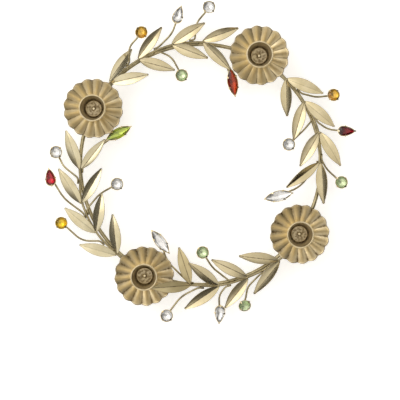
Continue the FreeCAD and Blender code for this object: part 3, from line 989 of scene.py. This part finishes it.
def stone_rings(node):
    """The axis and the rings of corners of each stone in a node, from top to bottom."""
    shape = welded(node)
    facets = []
    for face in shape.faces:
        facets.append((face.calc_center_median(), face.normal.copy(), face.calc_area()))
    shape.free()
    found = []
    for points in solids_of(node):
        middle = Vector(points.mean(axis=0))
        reach = max((Vector(point) - middle).length for point in points)
        own = [facet for facet in facets if (facet[0] - middle).length < reach]
        facing = [(normal, area) for _, normal, area in own if normal.z > crown_facing]
        level_areas = [
            sum(area for near, area in facing if near.dot(normal) > level_with_axis)
            for normal, _ in facing
        ]
        axis = facing[int(np.argmax(level_areas))][0].normalized()
        heights = points @ np.array(axis)
        order = np.argsort(-heights)
        side = axis.orthogonal().normalized()
        other = axis.cross(side)
        rings = []
        for level in range(rings_in_stone):
            ring = points[order[level * girdle_points:(level + 1) * girdle_points]]
            centre = ring.mean(axis=0)
            angles = [
                math.atan2((point - centre) @ np.array(other), (point - centre) @ np.array(side))
                for point in ring
            ]
            rings.append([Vector(ring[i]) for i in np.argsort(angles)])
        found.append((axis, rings))
    return found


print("stones in stones_left_clear", len(stone_rings("stones_left_clear")))

# %% [markdown]
# The round stones are cut like a small brilliant: a flat table, a crown of kites and
# triangles, and a pavilion that comes to a point. Pears and marquises take the same
# facets on their own outline. A bevel on the solid would add facets, but not in a
# cutter's order, so they are built face by face. Flat shading keeps every facet sharp.
# The pavilion is drawn at under half of its depth: a ray traced picture of this size
# shows one steep facet dark and the next bright, where the eye sees the many small ones
# blend to the stone's colour.

# %% Facets of one stone
main_facets = 8
crown_break_share = 0.52
crown_break_height_share = 0.5
pavilion_break_depth_share = 0.68
pavilion_seen_share = 0.45


def cut_stone(axis, rings, points, faces, backs):
    """Add the facets of one stone, crown first, and note which ones carry the foil."""
    table_ring, girdle_top, girdle_low, culet_ring = rings
    middle = sum(table_ring, Vector()) / girdle_points
    low_middle = sum(girdle_low, Vector()) / girdle_points
    start = len(points)
    first = table_ring[0] - middle
    turn = min(range(girdle_points), key=lambda i: first.angle(girdle_top[i] - middle))
    girdle_top = girdle_top[turn:] + girdle_top[:turn]
    turn = min(range(girdle_points), key=lambda i: (girdle_low[i] - girdle_top[0]).length)
    girdle_low = girdle_low[turn:] + girdle_low[:turn]
    bottom = low_middle.lerp(sum(culet_ring, Vector()) / girdle_points, pavilion_seen_share)
    points += [table_ring[2 * i] for i in range(main_facets)]
    top_height = (middle - low_middle).dot(axis)
    girdle_height = (girdle_top[0] - low_middle).dot(axis)
    for i in range(main_facets):
        edge = girdle_top[2 * i + 1]
        inner = table_ring[2 * i + 1]
        level = girdle_height + (top_height - girdle_height) * crown_break_height_share
        place = inner.lerp(edge, crown_break_share)
        points.append(place + axis * (level - (place - low_middle).dot(axis)))
    points += girdle_top
    points += girdle_low
    for i in range(main_facets):
        edge = girdle_low[2 * i + 1]
        points.append(edge.lerp(bottom, pavilion_break_depth_share))
    points.append(bottom)
    table = start
    breaks = start + main_facets
    top = breaks + main_facets
    low = top + girdle_points
    under = low + girdle_points
    tip = under + main_facets
    faces.append(tuple(range(table, table + main_facets)))
    backs.append(False)
    for i in range(main_facets):
        after = (i + 1) % main_facets
        corner = 2 * i
        edge = 2 * i + 1
        beyond = (2 * i + 2) % girdle_points
        crown = [
            (table + i, breaks + i, table + after),
            (table + i, breaks + (i - 1) % main_facets, top + corner, breaks + i),
            (breaks + i, top + corner, top + edge),
            (breaks + i, top + edge, top + beyond),
            (top + corner, low + corner, low + edge, top + edge),
            (top + edge, low + edge, low + beyond, top + beyond),
        ]
        pavilion = [
            (under + i, low + edge, low + corner),
            (under + i, low + beyond, low + edge),
            (under + i, tip, under + after, low + beyond),
        ]
        faces += crown + pavilion
        backs += [False] * len(crown) + [True] * len(pavilion)


facets = []
cut_stone(*stone_rings("stones_left_clear")[0], [], facets, [])
print("facets of one stone", len(facets))

# %% [markdown]
# The stones of one colour in a spray are one piece, with glass in front and foil behind.
# The facets at the back could be told by their direction, but a tilted stone can mislead
# that. The order of cutting already says which ones they are, so it gives them the foil.


# %% Cut stones
def stones_piece(node):
    """All stones of one colour in one spray."""
    tone = node.split("_", 2)[2]
    points = []
    faces = []
    backs = []
    for axis, rings in stone_rings(node):
        cut_stone(axis, rings, points, faces, backs)
    name = "cut_" + node
    piece = add_piece(name, points, faces, [crowns[tone], foils[tone]], [node], smooth=False)
    piece.data.polygons.foreach_set("material_index", [int(back) for back in backs])
    shape = bmesh.new()
    shape.from_mesh(piece.data)
    bmesh.ops.recalc_face_normals(shape, faces=shape.faces)
    shape.to_mesh(piece.data)
    shape.free()
    return piece


for node in sorted(nodes):
    if node.startswith("stones_"):
        stones = stones_piece(node)
        print(stones.name, "facets", len(stones.data.polygons))

# %% [markdown]
# Each pair of leaves is soldered to its stem. The joint shows as a small nub of solder
# over the roots of the two leaves. Metaballs could melt the drops together. A nub is a
# single drop that has set, though, so it is modelled as a flattened drop with an uneven
# edge.

# %% Solder on the stems
drop_radius = 1.35 * MM
drop_height = 0.9 * MM
drop_rings = 10
drop_steps = 20
drop_swell_share = 0.15
drop_seeds = 50


def solder_drop(points, faces, middle, seed):
    """Add one drop of solder, a little uneven, to the points and faces."""
    faces += grid_faces(drop_rings + 1, drop_steps, len(points))
    for ring in range(drop_rings + 1):
        fall = math.pi * ring / drop_rings
        for step in range(drop_steps):
            angle = 2 * math.pi * step / drop_steps
            uneven = noise.noise(Vector((math.cos(angle), math.sin(angle), seed)))
            wide = drop_radius * math.sin(fall) * (1 + drop_swell_share * uneven)
            points.append(around(middle, wide, angle, middle[2] + drop_height * math.cos(fall)))


for spray in sprays:
    points = []
    faces = []
    bases = leaf_bases[spray]
    for first, second in zip(bases[::2], bases[1::2]):
        solder_drop(points, faces, (first + second) / 2, random.random() * drop_seeds)
    nubs = add_piece("solder_nubs_" + spray, points, faces, [wire_gold], [])
    print(nubs.name, "points", len(nubs.data.vertices))

# %% [markdown]
# The stalks are thin round wires. The sides of so thin a wire mirror the white table and
# fade in a picture of this size, so the eye sees it narrower than it is. A curve with a
# bevel could follow each wire. It is simpler to draw each stalk again from its own solid,
# with every point moved a fifth of a millimetre outwards.

# %% Stalks
stalk_swell = 0.2 * MM
for spray in sprays:
    node = "gem_stalks_" + spray
    shape = welded(node)
    shape.normal_update()
    points = [vertex.co + vertex.normal * stalk_swell for vertex in shape.verts]
    faces = [[vertex.index for vertex in face.verts] for face in shape.faces]
    shape.free()
    stalks = add_piece("drawn_stalks_" + spray, points, faces, [wire_gold], [node])
    print(stalks.name, "points", len(stalks.data.vertices))

# %% [markdown]
# The rest of the ring keeps its own solids: rod, stems, studs, rivets, feet and settings.
# They could be built again too, but round bars and balls are smooth enough as they are.
# Each gets the finish of the process that made it.

# %% Finishes on the carried solids
finishes = {
    "ring_rod": wire_gold,
    "stem_": wire_gold,
    "foot_studs": wire_gold,
    "foot_ball_": polished_ball,
    "cup_rivets": pressed_gold,
    "gem_settings_": claw_brass,
}
for node in sorted(nodes):
    for start, material in finishes.items():
        if node.startswith(start):
            slots = nodes[node].data.materials
            for index in range(len(slots)):
                slots[index] = material
print("finished", sum(node.startswith(tuple(finishes)) for node in nodes), "of", len(nodes))

# %% [markdown]
# The photograph was made on a white table in a light tent, with a large lamp on the left
# and a dark room beyond the tent's open side. Gilt metal shows its surroundings more than
# its own colour, so the surroundings are built as carefully as the ring. Walls of mesh
# could stand round it. Gradients in the world give the same reflections, and each of them
# can be set by itself. The roof is pale and fades to a dark band at the horizon, which
# turns the steep halves of the leaves nearly black. The open side, on the right, is dark
# higher up too. The near side, at the foot of the picture, is a little dimmer, and the
# lamp's side is brighter.

# %% Gradients of the tent
roof_strength = 1.06
horizon_strength = 0.04
open_side_share = 0.18
near_side_share = 0.8
lamp_side_share = 1.22
dark_side_direction = (0.95, -0.3, 0)

world = bpy.data.worlds.new("light_tent")
scene.world = world
world.use_nodes = True
tree = world.node_tree
tree.nodes.clear()
direction = add_node(tree, "ShaderNodeTexCoord").outputs["Generated"]
parts = add_node(tree, "ShaderNodeSeparateXYZ", {}, {"Vector": direction})
roof = add_node(
    tree,
    "ShaderNodeMapRange",
    {"From Min": 0.2, "From Max": 0.7, "To Min": horizon_strength, "To Max": roof_strength},
    {"Value": parts.outputs["Z"]},
    interpolation_type="SMOOTHSTEP",
)
sideways = add_node(
    tree,
    "ShaderNodeVectorMath",
    {1: dark_side_direction},
    {0: direction},
    operation="DOT_PRODUCT",
)
dark_side = add_node(
    tree,
    "ShaderNodeMapRange",
    {"From Min": 0.42, "From Max": 0.66, "To Min": 1.0, "To Max": open_side_share},
    {"Value": sideways.outputs["Value"]},
    interpolation_type="SMOOTHSTEP",
)
near_side = add_node(
    tree,
    "ShaderNodeMapRange",
    {"From Min": -0.12, "From Max": 0.06, "To Min": near_side_share, "To Max": 1.0},
    {"Value": parts.outputs["Y"]},
    interpolation_type="SMOOTHSTEP",
)
lamp_side = add_node(
    tree,
    "ShaderNodeMapRange",
    {"From Min": 0.05, "From Max": -0.25, "To Min": 1.0, "To Max": lamp_side_share},
    {"Value": parts.outputs["X"]},
)
print("nodes in the tent", len(tree.nodes))

# %% [markdown]
# The lamp's own patch stands high on the left and gives the petals their cream streaks. A
# second lamp could make it, but would add shadows, so it is a round glow in the world.
# The gradients multiply each other, and the patch is added to them.

# %% The lamp's patch and the sum
lamp_patch_strength = 0.22
lamp_patch_direction = (-0.6, 0.35, 0.72)

towards = add_node(
    tree,
    "ShaderNodeVectorMath",
    {1: lamp_patch_direction},
    {0: direction},
    operation="DOT_PRODUCT",
)
lamp_patch = add_node(
    tree,
    "ShaderNodeMapRange",
    {"From Min": 0.88, "From Max": 0.98, "To Max": lamp_patch_strength},
    {"Value": towards.outputs["Value"]},
    interpolation_type="SMOOTHSTEP",
)
strength = roof.outputs["Result"]
for side in (dark_side, near_side, lamp_side):
    shaded = add_node(
        tree,
        "ShaderNodeMath",
        {},
        {0: strength, 1: side.outputs["Result"]},
        operation="MULTIPLY",
    )
    strength = shaded.outputs["Value"]
total = add_node(
    tree,
    "ShaderNodeMath",
    {},
    {0: strength, 1: lamp_patch.outputs["Result"]},
    operation="ADD",
)
sky = add_node(
    tree,
    "ShaderNodeBackground",
    {"Color": colour("#FFFBF4")},
    {"Strength": total.outputs["Value"]},
)
add_node(tree, "ShaderNodeOutputWorld", {}, {"Surface": sky.outputs["Background"]})
print("nodes in the world", len(tree.nodes))

# %% [markdown]
# The table is white paper. It takes the soft shadow of the ring. More light could turn it
# white, but would wash out the metal. So the paper itself glows a little for the camera,
# and for rays that metal and glass send back to it, and the ring gets no more light.

# %% White table
table_half = 4000 * MM
table_glow = 0.5
paper, tree = new_material("white_paper_table")
rays = add_node(tree, "ShaderNodeLightPath")
mirrored = add_node(
    tree,
    "ShaderNodeMath",
    {},
    {0: rays.outputs["Is Glossy Ray"], 1: rays.outputs["Is Transmission Ray"]},
    operation="MAXIMUM",
)
seen = add_node(
    tree,
    "ShaderNodeMath",
    {},
    {0: rays.outputs["Is Camera Ray"], 1: mirrored.outputs["Value"]},
    operation="MAXIMUM",
)
glow_strength = add_node(
    tree,
    "ShaderNodeMath",
    {1: table_glow},
    {0: seen.outputs["Value"]},
    operation="MULTIPLY",
)
glow = add_node(tree, "ShaderNodeEmission", {}, {"Strength": glow_strength.outputs["Value"]})
matte = add_node(tree, "ShaderNodeBsdfDiffuse", {"Color": colour("#F4F4F4")})
both = add_node(
    tree,
    "ShaderNodeAddShader",
    {},
    {0: matte.outputs["BSDF"], 1: glow.outputs["Emission"]},
)
add_node(tree, "ShaderNodeOutputMaterial", {}, {"Surface": both.outputs["Shader"]})
table_mesh = bpy.data.meshes.new("table")
corners = [
    (-table_half, -table_half, 0),
    (table_half, -table_half, 0),
    (table_half, table_half, 0),
    (-table_half, table_half, 0),
]
table_mesh.from_pydata(corners, [], [(0, 1, 2, 3)])
table = bpy.data.objects.new("table", table_mesh)
scene.collection.objects.link(table)
table_mesh.materials.append(paper)
print("table side in mm", round(2 * table_half / MM))

# %% [markdown]
# One broad lamp on the left gives the shadows their direction and lifts the sides of the
# petals that face it. The sun would do that too, but with hard shadows, and a softbox has
# soft ones. It stays weak, so that the leaves that face it keep their cream.

# %% Lamp on the left
lamp_width = 1200 * MM
lamp_height = 900 * MM
lamp_watts = 3
lamp_place = (-1200 * MM, 700 * MM, 1250 * MM)

lamp_data = bpy.data.lights.new("left_softbox", "AREA")
lamp_data.shape = "RECTANGLE"
lamp_data.size = lamp_width
lamp_data.size_y = lamp_height
lamp_data.energy = lamp_watts
lamp = bpy.data.objects.new("left_softbox", lamp_data)
scene.collection.objects.link(lamp)
lamp.location = lamp_place
lamp.rotation_euler = (-lamp.location).to_track_quat("-Z", "Y").to_euler()
print("lamp in W", lamp_data.energy)

# %% [markdown]
